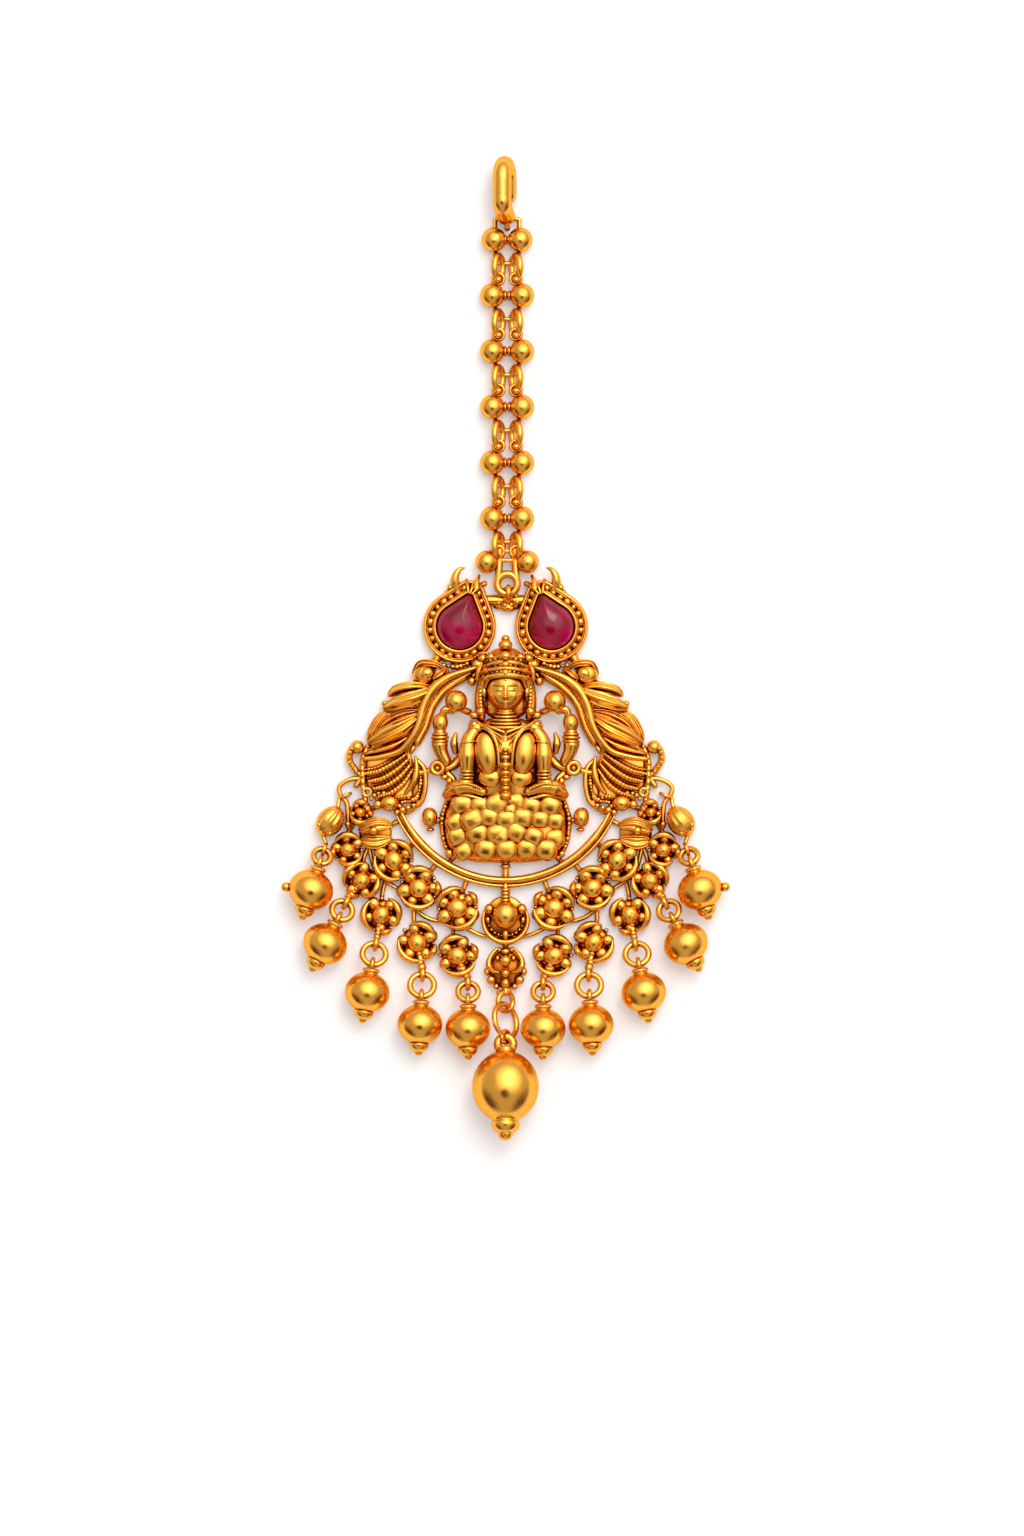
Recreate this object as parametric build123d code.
from build123d import *
import math
import os

# A maang tikka lying on its back: a ball chain with a hair hook, a soldered gold plaque with a
# seated goddess between two birds, two ruby cabochons, and gold drops on jump rings.
# +Y runs towards the hair hook, +Z out of the front, and the back rests on Z = 0.

# Chain: pairs of balls on short axles, joined by two small rings each
ball_radius = 1.48
pair_count = 6
first_pair_y = 49.2
pair_pitch = 6.68
pair_half_spacing = 1.78
first_pair_half_spacing = 1.58
first_bail_rise = 2.15
axle_radius = 0.35
bail_radius = 0.28
bail_drop = 2.75            # from the axle down to the crossbar that the rings hang on
bail_half_width = 1.72
eye_x = 1.05                # eyelets on top of each pair of balls
eye_rise = 2.0
eye_major = 0.65
eye_minor = 0.2
chain_x = 0.2
chain_ring_drop = 3.28      # from the axle down to the middle of the ring
chain_ring_half_length = 1.4
chain_ring_half_depth = 1.0
chain_ring_wire = 0.25
chain_ring_turn = 30        # degrees that each ring's front leans outwards

# Hair hook
hook_wire = 1.12
hook_leg_spacing = 3.3
hook_turn = 10.5            # degrees about Y, so that its back leg shows beside the front one
hook_top_y = 59.2
hook_neck_bend = 1.3
hook_tip_y = 55.6
hook_tip_radius = 1.05
hook_tip_step = 0.3         # from the end of the wire to the middle of its rounded tip
hook_eye_major = 0.8
hook_eye_minor = 0.36

# Yoke under the chain
yoke_x = 0.2
yoke_y = 10.2
yoke_half_spacing = 2.45
yoke_ball_radius = 1.38
yoke_bar_rise = 0.2
yoke_frame_half_width = 0.95
yoke_wire = 0.28
yoke_ring_y = 7.55
yoke_ring_major = 1.2

# Ruby settings
stone_width = 5.4
stone_length = 6.8
stone_tip_radius = 0.35
stone_rise = 2.5
dome_radius = 6.0
stone_clearance = 0.06
setting_x = 5.3
setting_y = 3.1
setting_lean = 18           # degrees that the tips lean towards the middle
setting_floor = 1.0
bezel_width = 0.45
bezel_top = 2.3
granule_channel = 0.75
rim_width = 0.5
rim_top = 1.7
granule_radius = 0.32

# Crescent, and the two rows of florets that follow its arc
crescent_y = -14.3
crescent_radius = 13.9
crescent_width = 1.0
crescent_half_angle = 66
crescent_top = 1.5
wire_arc_radius = 20.2
wire_arc_half_angle = 64
thin_wire = 0.25
stem_radius = 0.35

# Florets of one side as X, Y, width; the middle ones follow
row_one = [
    (5.8, -31.3, 4.9),
    (10.4, -28.9, 4.9),
    (13.4, -25.6, 4.8),
    (15.6, -22.3, 4.4),
    (17.4, -19.8, 2.6),
]
row_two = [
    (5.8, -36.8, 3.8),
    (10.6, -35.3, 3.8),
    (14.9, -32.1, 3.8),
    (17.5, -28.0, 3.8),
    (18.9, -24.4, 3.4),
]
middle_row_one = (0.0, -32.0, 5.6)
middle_row_two = (0.0, -38.3, 4.3)
floret_base = 0.9
floret_rim_wire = 0.3

# Drops of one side as X, Y, lean outwards in degrees, jump ring radius
drops = [
    (4.5, -45.7, 0, 1.2),
    (10.25, -45.2, 3, 1.45),
    (16.55, -41.35, 10, 1.4),
    (21.6, -35.55, 27, 1.25),
    (23.3, -29.1, 18, 1.05),
]
drop_radius = 2.7
drop_half_length = 2.4
drop_eye_reach = 3.35       # from the middle of the bead to the middle of its eye
pip_radius = 1.08
pip_reach = 2.95
ring_wire = 0.3
ring_eye_major = 0.68
ring_eye_minor = 0.2
eyelet_z = 1.5              # middle of the eyelets on the plaque

main_y = -52.6
main_radius = 4.0
main_half_length = 4.3
main_tilt = 10              # degrees that its neck dips towards the plaque
main_eye_reach = 6.0
main_pip_radius = 1.45
main_pip_reach = 5.1
main_ring_wire = 0.27
main_ring_turn = 50         # degrees out of the flat, and its eyes are turned the other way
main_eyelet = (0, -42.5, eyelet_z)
main_eyelet_major = 1.15
main_ring_top_y = -42.85

# Leaf beads that carry the outermost drops
leaf_bead = (21.0, -20.9)
leaf_bead_radius = 1.5
leaf_tip_radius = 0.45
leaf_tip_reach = 1.95
leaf_bead_lean = 38
side_hook_z = 0.95
leaf_bead_hook = (19.22, -17.8, side_hook_z)    # where its top eye goes round the side hook

# Crown as Y, half width, height, and the lotus petals as Y, half width of the row, count, height
crown_tiers = [(-3.7, 2.6, 4.3), (-2.6, 2.2, 4.0), (-1.5, 1.7, 3.5), (-0.4, 1.2, 3.0)]
petal_rows = [(-18.3, 5.3, 6, 3.1), (-20.7, 5.8, 6, 3.1), (-23.1, 5.9, 6, 2.6)]

sides = {"left": -1, "right": 1}


def ball(x, y, z, radius):
    return Pos(x, y, z) * Sphere(radius)


def wire(points, radius, bend=0.5):
    """Round wire along straight runs joined by tangent arcs."""
    if len(points) == 2:
        path = Edge.make_line(points[0], points[1])
    else:
        path = FilletPolyline(*points, radius=bend)
    start = path @ 0
    section = Plane(origin=start, z_dir=path % 0) * Circle(radius)
    return sweep(section, path=path)


def flat_ring(x, y, z, major, minor):
    return Pos(x, y, z) * Torus(major, minor)


def upright_ring(x, y, z, major, minor, heading, turn=90):
    """Ring through the heading, in degrees from +Y towards +X, turned about it out of the flat."""
    return Pos(x, y, z) * Rot(0, 0, -heading) * Rot(0, turn, 0) * Torus(major, minor)


def plate(outline, top):
    return extrude(outline, amount=top, dir=(0, 0, 1))


def teardrop(width, length):
    """Round at the bottom, with its tip towards +Y and its middle at the origin."""
    round_radius = width / 2
    low = Pos(0, round_radius - length / 2) * Circle(round_radius)
    tip = Pos(0, length / 2 - stone_tip_radius) * Circle(stone_tip_radius)
    return make_hull([*low.edges(), *tip.edges()])


def lens(base, tip, half_width):
    """Leaf outline between two points, as two arcs."""
    base, tip = Vector(*base), Vector(*tip)
    along = (tip - base).normalized()
    across = Vector(-along.Y, along.X) * half_width
    middle = (base + tip) * 0.5
    return make_face([
        ThreePointArc(base, middle + across, tip),
        ThreePointArc(tip, middle - across, base),
    ])


def arc_band(radius, width, half_angle, top):
    """Part of a flat ring about the crescent's centre, open upwards."""
    spread = 2 * half_angle
    start = -90 - half_angle
    outer = CenterArc((0, crescent_y), radius + width / 2, start, spread)
    inner = CenterArc((0, crescent_y), radius - width / 2, start, spread)
    return plate(make_face([outer, Line(outer @ 1, inner @ 1), inner, Line(inner @ 0, outer @ 0)]), top)


def chain_unit(half_spacing, top_pieces):
    """Two balls on an axle with a bail below, about the middle of the axle."""
    balls = [ball(side * half_spacing, 0, 0, ball_radius) for side in (-1, 1)]
    axle = wire([(-half_spacing, 0, 0), (half_spacing, 0, 0)], axle_radius)
    return Part() + [*balls, axle, crossbar_bail(bail_half_width, 0.9, bail_drop), *top_pieces]


def crossbar_bail(half_width, start, reach):
    """U of wire that hangs below a pair of balls."""
    left_leg = [(-half_width, -start, 0), (-half_width, -reach, 0)]
    right_leg = [(half_width, -reach, 0), (half_width, -start, 0)]
    return wire(left_leg + right_leg, bail_radius)


def linked_unit():
    """A pair with two eyelets on top for the rings of the pair above."""
    eyes = [flat_ring(side * eye_x, eye_rise, 0, eye_major, eye_minor) for side in (-1, 1)]
    return chain_unit(pair_half_spacing, eyes)


def first_unit():
    """The top pair carries a bail for the hook instead of eyelets."""
    return chain_unit(first_pair_half_spacing, [Rot(0, 0, 180) * crossbar_bail(1.35, 0.9, first_bail_rise)])


def chain_ring(unit_y, side):
    """Oval ring between two units, its front leaning outwards."""
    outline = Ellipse(chain_ring_half_length, chain_ring_half_depth)
    path = outline.wire()
    section = Plane(origin=path @ 0, z_dir=path % 0) * Circle(chain_ring_wire)
    oval = sweep(section, path=path)
    upright = Rot(0, 0, 90) * Rot(90, 0, 0) * oval
    place = Pos(chain_x + side * eye_x, unit_y - chain_ring_drop, ball_radius)
    return place * Rot(0, side * chain_ring_turn, 0) * upright


def hair_hook():
    """A J of round wire whose plane stands on edge, with an eye round the first bail."""
    eye_y = first_pair_y + first_bail_rise
    low = hook_wire
    high = hook_wire + hook_leg_spacing
    start_y = eye_y + hook_eye_major + 0.85
    route = [
        (0, start_y, ball_radius + 0.3),
        (0, start_y + 1.0, high),
        (0, hook_top_y - hook_wire, high),
        (0, hook_top_y - hook_wire, low),
        (0, hook_tip_y, low),
    ]
    leg_bend = hook_leg_spacing / 2 - 0.05
    path = FilletPolyline(*route, radius=[hook_neck_bend, leg_bend, leg_bend])
    section = Plane(origin=path @ 0, z_dir=path % 0) * Circle(hook_wire)
    stem = sweep(section, path=path)
    tip = ball(0, hook_tip_y - hook_tip_step, low, hook_tip_radius)
    root = ball(0, start_y, ball_radius + 0.3, hook_wire)
    turned = Pos(0, 0, low) * Rot(0, -hook_turn, 0) * Pos(0, 0, -low) * (Part() + [stem, tip])
    eye = upright_ring(0, eye_y, ball_radius, hook_eye_major, hook_eye_minor, 0)
    return Pos(chain_x, 0, 0) * (Part() + [turned, root, eye])


def yoke():
    """A wide pair of balls on a frame whose lower end is a flat ring, about the middle of the pair."""
    last_pair_y = first_pair_y - (pair_count - 1) * pair_pitch
    ring_foot = last_pair_y - chain_ring_drop - chain_ring_half_length - yoke_y
    ring_y = yoke_ring_y - yoke_y
    pieces = [ball(side * yoke_half_spacing, 0, 0, yoke_ball_radius) for side in (-1, 1)]
    bar_ends = [(side * yoke_half_spacing, yoke_bar_rise, 0) for side in (-1, 1)]
    pieces.append(wire(bar_ends, yoke_wire))
    for side in (-1, 1):
        foot = (side * (yoke_ring_major - 0.15), ring_y + 0.4, 0)
        pieces.append(wire([(side * yoke_frame_half_width, yoke_bar_rise, 0), foot], yoke_wire))
        pieces.append(flat_ring(chain_x - yoke_x + side * eye_x, ring_foot, 0, eye_major, eye_minor))
    pieces.append(flat_ring(0, ring_y, 0, yoke_ring_major, yoke_wire))
    return Part() + pieces


def setting_place(side):
    return Pos(side * setting_x, setting_y, 0) * Rot(0, 0, side * setting_lean)


def setting():
    """Ruby seat: floor, bezel wall, granulated channel and outer rim."""
    seat = 2 * stone_clearance
    bezel = seat + 2 * bezel_width
    channel = bezel + 2 * granule_channel
    rim = channel + 2 * rim_width
    outlines = [teardrop(stone_width + grow, stone_length + grow) for grow in (seat, bezel, channel, rim)]
    pocket = plate(outlines[0], bezel_top + 1) - plate(outlines[0], setting_floor)
    floor = plate(outlines[3], setting_floor)
    bezel_wall = plate(outlines[1], bezel_top)
    outer_wall = plate(outlines[3], rim_top) - plate(outlines[2], rim_top)
    track = teardrop(stone_width + bezel + granule_channel, stone_length + bezel + granule_channel).wire()
    count = 22
    granules = [Pos(track @ (step / count)) * Pos(0, 0, setting_floor + 0.25) * Sphere(granule_radius)
                for step in range(count)]
    return (Part() + [floor, bezel_wall, outer_wall, *granules]) - pocket


def ruby():
    """Cabochon: a short straight girdle under a dome."""
    outline = teardrop(stone_width, stone_length)
    girdle = Pos(0, 0, setting_floor + stone_clearance) * extrude(outline, amount=stone_rise)
    dome = Pos(0, 0, setting_floor + stone_rise - dome_radius) * Sphere(dome_radius)
    return girdle & dome


def floret(x, y, width, petals=6):
    """Small flower: a dished base, a rim wire, petals of granules and a centre dome."""
    radius = width / 2
    base = Pos(x, y, 0) * Cylinder(radius, floret_base, align=(Align.CENTER, Align.CENTER, Align.MIN))
    rim = flat_ring(x, y, floret_base, radius - floret_rim_wire, floret_rim_wire)
    pieces = [base, rim, ball(x, y, floret_base + 0.1, radius * 0.42)]
    for step in range(petals):
        angle = 2 * math.pi * (step + 0.5) / petals
        petal_x = x + radius * 0.62 * math.cos(angle)
        petal_y = y + radius * 0.62 * math.sin(angle)
        pieces.append(ball(petal_x, petal_y, floret_base + 0.15, radius * 0.24))
    return pieces


def heading_of(lean):
    """Unit vector from a drop back towards the plaque, for a lean outwards on the right side."""
    angle = math.radians(lean)
    return -math.sin(angle), math.cos(angle)


def ring_ends(x, y, lean, eye_reach, eye_z, major):
    """Both ends of a jump ring's middle line: the one in the drop's eye, and the plaque's end."""
    back_x, back_y = heading_of(lean)
    rise = eye_z - eyelet_z
    span = math.sqrt((2 * major) ** 2 - rise ** 2)
    outer = (x + back_x * eye_reach, y + back_y * eye_reach, eye_z)
    inner = (outer[0] + back_x * span, outer[1] + back_y * span, eyelet_z)
    return outer, inner


def jump_ring(outer, inner, lean, major, minor=ring_wire, turn=0):
    """Round ring that slopes from one end down to the other."""
    middle = [(a + b) / 2 for a, b in zip(outer, inner)]
    slope = math.degrees(math.asin((outer[2] - inner[2]) / (2 * major)))
    return Pos(*middle) * Rot(0, 0, lean) * Rot(-slope, 0, 0) * Rot(0, turn, 0) * Torus(major, minor)


def bead(radius, half_length, collar_radius, collar_reach, end_radius, end_reach):
    """Turned bead along Y about the origin, with a collar above and a pip below."""
    body = scale(Sphere(radius), by=(1, half_length / radius, 1))
    collar_length = collar_reach - half_length + 0.5
    collar = Rot(90, 0, 0) * Cylinder(collar_radius, collar_length)
    collar = Pos(0, collar_reach - collar_length / 2, 0) * collar
    neck_length = end_reach - half_length + 0.6
    neck = Pos(0, neck_length / 2 - end_reach, 0) * Rot(90, 0, 0) * Cylinder(end_radius * 0.6, neck_length)
    return [body, collar, neck, ball(0, -end_reach, 0, end_radius)]


def small_drop(x, y, lean, side_pip):
    pieces = bead(drop_radius, drop_half_length, 0.75, drop_half_length + 0.35, pip_radius, pip_reach)
    pieces.append(upright_ring(0, drop_eye_reach, 0, ring_eye_major, ring_eye_minor, 0))
    if side_pip:
        reach = drop_radius + 0.35
        pieces.append(ball(reach * 0.98, -reach * 0.2, 0, 0.6))
    return Pos(x, y, drop_radius) * Rot(0, 0, lean) * (Part() + pieces)


def main_drop():
    pieces = bead(main_radius, main_half_length, 1.0, main_half_length + 1.0, main_pip_radius, main_pip_reach)
    pieces.append(upright_ring(0, main_eye_reach, 0, ring_eye_major, ring_eye_minor, 0, main_ring_turn - 90))
    return Pos(0, main_y, main_radius) * Rot(-main_tilt, 0, 0) * (Part() + pieces)


def main_ring():
    """Ring from the plaque's lowest eyelet to the main drop's eye."""
    tilt = math.radians(main_tilt)
    outer = (0, main_y + main_eye_reach * math.cos(tilt), main_radius - main_eye_reach * math.sin(tilt))
    inner = (0, main_ring_top_y, eyelet_z)
    return jump_ring(outer, inner, 0, math.dist(outer, inner) / 2, main_ring_wire, main_ring_turn)


def wing():
    """One bird's raised wing on the right: a spine, three leaf feathers and a fan of plumes."""
    spine = wire([(3.7, -2.6, 1.0), (8.6, -5.2, 1.0), (10.3, -9.6, 1.0), (11.4, -12.8, 1.0)], 0.6, 1.5)
    loop = [(11.2, -12.4, 0.9), (10.2, -14.6, 0.9), (10.4, -18.4, 0.9), (13.2, -20.0, 0.9)]
    inner_loop = wire(loop, 0.55, 1.2)
    pieces = [spine, inner_loop, ball(9.1, -3.1, 0.9, 1.35), ball(14.7, -18.9, 1.0, 1.05)]
    feathers = [((8.6, -4.6), (14.5, -7.2)), ((9.6, -7.2), (15.9, -11.0)), ((10.4, -10.4), (17.0, -12.8))]
    for base, tip in feathers:
        pieces.append(plate(lens(base, tip, 1.6), 1.9))
        pieces.append(wire([(*base, 1.85), (*tip, 1.7)], 0.3))
    fan = make_face([
        Line((10.2, -12.2), (17.0, -12.9)),
        ThreePointArc((17.0, -12.9), (17.55, -16.0), (16.4, -19.4)),
        Line((16.4, -19.4), (12.8, -20.3)),
        ThreePointArc((12.8, -20.3), (10.3, -16.6), (10.2, -12.2)),
    ])
    pieces.append(plate(fan, 1.5))
    plumes = [(17.1, -14.3), (17.2, -15.9), (17.0, -17.5), (15.6, -18.6)]
    for tip_x, tip_y in plumes:
        middle = ((11.5 + tip_x) / 2, (-12.9 + tip_y) / 2 - 0.5, 1.5)
        pieces.append(wire([(11.5, -12.9, 1.5), middle, (tip_x, tip_y, 1.4)], 0.4, 2.0))
    return pieces


def side_strand():
    """Small floret, open hook and straight bar down the right edge of the plaque."""
    hook = [(17.2, -15.4), (19.9, -16.0), (18.9, -18.6), (18.8, -21.4), (19.1, -23.6)]
    return [
        ball(17.9, -12.1, 1.0, 0.95),
        wire([(17.7, -12.4, 0.9), (18.6, -13.9, 0.9), (17.0, -15.6, 0.9)], 0.42, 0.5),
        wire([(x, y, side_hook_z) for x, y in hook], 0.3, 0.75),
    ]


def rear_arm():
    """The right rear arm, raised with a bud in its hand."""
    return [
        wire([(3.4, -10.4, 2.2), (7.6, -14.2, 1.8), (7.9, -10.6, 2.0), (6.3, -7.4, 2.2)], 0.8, 1.0),
        ball(5.75, -6.7, 2.2, 1.2),
        wire([(7.0, -13.2, 1.0), (8.4, -14.8, 1.0), (11.0, -14.9, 0.9)], 0.45, 0.8),
    ]


def front_arm():
    return [
        wire([(3.3, -10.0, 3.0), (4.8, -13.2, 3.2), (4.9, -15.7, 3.4), (5.2, -17.2, 3.2)], 0.78, 1.0),
        ball(4.9, -15.8, 3.6, 0.85),
    ]


def goddess():
    """Seated figure: crown, head, torso and four arms, on a lotus."""
    torso = Pos(0, -12.2, 2.2) * Rot(-90, 0, 0) * Cone(2.0, 2.9, 5.4)
    legs = wire([(-6.0, -17.1, 2.7), (0, -15.9, 2.8), (6.0, -17.1, 2.7)], 1.1, 2)
    neck = Pos(0, -8.4, 2.6) * Rot(90, 0, 0) * Cylinder(1.1, 2.8)
    shoulders = wire([(-3.3, -10.1, 2.6), (3.3, -10.1, 2.6)], 0.95)
    pieces = [torso, legs, neck, shoulders, ball(0, -5.7, 3.0, 2.15), ball(0, 0.3, 2.0, 0.75)]
    for tier_y, half_width, height in crown_tiers:
        outline = Plane.XZ * Pos(0, height / 2) * RectangleRounded(2 * half_width, height, 0.9)
        pieces.append(Pos(0, tier_y, 0) * extrude(outline, amount=0.65, both=True))
    for step in range(6):
        pieces.append(ball(0, -13.3 - step, 4.5 - 0.05 * step, 0.48))
    pieces.append(wire([(0, -12.9, 4.4), (0, -18.5, 4.2)], 0.3))
    for side in (-1, 1):
        pieces.append(ball(side * 1.7, -12.3, 3.6, 1.7))
        pieces.append(Pos(side * 2.6, -6.6, 1.5) * Cylinder(0.85, 3.0))
        pieces.append(ball(side * 3.3, -2.6, 1.0, 1.1))
    return pieces


def lotus():
    """Cushion of petals under the figure, with a post down to the crescent."""
    body = make_face([
        Line((7.1, -17.0), (-7.1, -17.0)),
        ThreePointArc((-7.1, -17.0), (-8.1, -21.6), (-6.7, -25.4)),
        Line((-6.7, -25.4), (6.7, -25.4)),
        ThreePointArc((6.7, -25.4), (8.1, -21.6), (7.1, -17.0)),
    ])
    pieces = [extrude(body, amount=3.6, taper=22)]
    for row_y, half_width, count, height in petal_rows:
        for step in range(count):
            x = half_width * (2 * step / (count - 1) - 1)
            pieces.append(ball(x, row_y, height - 0.035 * x * x, 1.0))
    pieces.append(wire([(0, -25.0, 0.9), (0, -28.0, 0.9)], 0.6))
    for side in (-1, 1):
        pieces.append(Pos(side * 8.5, -20.8, 0.9) * Cylinder(0.9, 1.8))
        pieces.append(wire([(side * 4.6, -25.0, 0.8), (side * 6.2, -27.0, 0.8)], 0.45))
    return pieces


def floret_rows():
    """Both rows, the stems behind them and the wire arc between them."""
    pieces = [*floret(*middle_row_one, petals=10), *floret(*middle_row_two, petals=8)]
    pieces.append(wire([(0, -27.6, 0.5), (0, -40.0, 0.5)], stem_radius))
    for side in (-1, 1):
        for x, y, width in row_one:
            distance = math.hypot(x, y - crescent_y)
            foot = crescent_radius / distance
            root = (side * x * foot, crescent_y + (y - crescent_y) * foot, 0.5)
            pieces += floret(side * x, y, width)
            pieces.append(wire([root, (side * x, y, 0.5)], stem_radius))
        for (x, y, width), (upper_x, upper_y, _) in zip(row_two, row_one):
            pieces += floret(side * x, y, width, petals=5)
            pieces.append(wire([(side * upper_x, upper_y, 0.5), (side * x, y, 0.5)], stem_radius))
    pieces.append(arc_band(wire_arc_radius, 2 * thin_wire, wire_arc_half_angle, 2 * thin_wire + 0.2))
    return pieces


def eyelets():
    """Upright eyelets along the plaque's lower edge, each on a stem from its floret."""
    pieces = []
    for side in (-1, 1):
        for (x, y, lean, ring), (floret_x, floret_y, _) in list(zip(drops, row_two))[:4]:
            _, inner = ring_ends(x, y, lean, drop_eye_reach, drop_radius, ring)
            back_x, back_y = heading_of(lean)
            eye = (side * inner[0], inner[1], inner[2])
            stem_end = (side * (inner[0] + 0.66 * back_x), inner[1] + 0.66 * back_y, 0.8)
            pieces.append(upright_ring(*eye, ring_eye_major, ring_eye_minor, -side * lean))
            pieces.append(wire([stem_end, (side * floret_x, floret_y, 0.6)], stem_radius))
    eyelet_x, eyelet_y, _ = main_eyelet
    pieces.append(upright_ring(*main_eyelet, main_eyelet_major, 0.33, 0, main_ring_turn - 90))
    pieces.append(wire([(0, -38.3, 0.7), (eyelet_x, eyelet_y + main_eyelet_major, eyelet_z)], 0.4))
    return pieces


def plaque():
    """Everything that is soldered together, with a flat back."""
    pieces = [arc_band(crescent_radius, crescent_width, crescent_half_angle, crescent_top)]
    pieces += goddess() + lotus() + floret_rows() + eyelets()
    right_side = wing() + rear_arm() + front_arm() + side_strand()
    pieces += right_side + [mirror(piece, about=Plane.YZ) for piece in right_side]
    pieces += [setting_place(side) * setting() for side in (-1, 1)]
    for side in (-1, 1):
        pieces.append(wire([(side * 3.3, -2.4, 0.9), (side * 4.6, -0.6, 0.7)], 0.7))
        pieces.append(wire([(side * 9.1, -3.1, 0.8), (side * 7.2, 0.2, 0.7)], 0.6))
        horn = [(side * 3.4, 7.4, 0.9), (side * 4.6, 8.8, 0.9), (side * 6.2, 7.0, 0.9)]
        pieces.append(wire(horn, 0.5, 0.6))
        pieces.append(wire([(side * 2.6, 5.4, 0.6), (yoke_x, 5.4, 0.6)], 0.5))
    pieces.append(upright_ring(yoke_x, yoke_ring_y - yoke_ring_major, ball_radius, 0.68, 0.22, 0))
    above_floor = Pos(0, -15, 0) * Box(80, 80, 20, align=(Align.CENTER, Align.CENTER, Align.MIN))
    return (Part() + pieces) & above_floor


def leaf_drop_bead():
    """Right leaf bead: a plump almond on the side hook, with a tail to the outermost jump ring."""
    tips = wire([(0, -leaf_tip_reach, 0), (0, leaf_tip_reach, 0)], leaf_tip_radius)
    placed = Pos(*leaf_bead, leaf_bead_radius) * Rot(0, 0, leaf_bead_lean) * (Sphere(leaf_bead_radius) + tips)
    hook_x, hook_y, hook_z = leaf_bead_hook
    top_eye = upright_ring(hook_x, hook_y, hook_z, ring_eye_major, ring_eye_minor, 111)
    top_wire = wire([(hook_x + 0.68, hook_y - 0.25, hook_z), (20.2, -19.8, 1.3)], thin_wire)
    x, y, lean, ring = drops[-1]
    _, inner = ring_ends(x, y, lean, drop_eye_reach, drop_radius, ring)
    back_x, back_y = heading_of(lean)
    low_eye = upright_ring(*inner, ring_eye_major, ring_eye_minor, -lean)
    tail_end = (inner[0] + 0.68 * back_x, inner[1] + 0.68 * back_y, inner[2])
    tail = wire([tail_end, (22.0, -22.2, 1.4)], thin_wire)
    return Part() + [placed, top_eye, top_wire, low_eye, tail]


nodes = {"hair_hook": hair_hook(), "plaque": plaque(), "yoke": Pos(yoke_x, yoke_y, ball_radius) * yoke()}
for number in range(1, pair_count + 1):
    unit_y = first_pair_y - (number - 1) * pair_pitch
    unit = first_unit() if number == 1 else linked_unit()
    nodes[f"chain_unit_{number}"] = Pos(chain_x, unit_y, ball_radius) * unit
    for name, side in sides.items():
        nodes[f"chain_ring_{number}_{name}"] = chain_ring(unit_y, side)
for name, side in sides.items():
    nodes[f"ruby_{name}"] = setting_place(side) * ruby()

for number, (x, y, lean, ring) in enumerate(drops, start=1):
    outer, inner = ring_ends(x, y, lean, drop_eye_reach, drop_radius, ring)
    drop = small_drop(x, y, lean, side_pip=number == len(drops))
    link = jump_ring(outer, inner, lean, ring)
    nodes[f"drop_{number}_right"], nodes[f"drop_{number}_left"] = drop, mirror(drop, about=Plane.YZ)
    nodes[f"jump_ring_{number}_right"], nodes[f"jump_ring_{number}_left"] = link, mirror(link, about=Plane.YZ)

leaf = leaf_drop_bead()
nodes["leaf_bead_right"], nodes["leaf_bead_left"] = leaf, mirror(leaf, about=Plane.YZ)
nodes["main_drop"] = main_drop()
nodes["main_ring"] = main_ring()

# The origin is the middle of the whole piece's footprint, on the surface that it lies on
boxes = [shape.bounding_box() for shape in nodes.values()]
middle_x = (min(box.min.X for box in boxes) + max(box.max.X for box in boxes)) / 2
middle_y = (min(box.min.Y for box in boxes) + max(box.max.Y for box in boxes)) / 2
print("middle of the footprint", round(middle_x, 3), round(middle_y, 3))

os.makedirs("parts", exist_ok=True)
for name, shape in nodes.items():
    export_step(Pos(-middle_x, -middle_y, 0) * shape, f"parts/{name}.step")
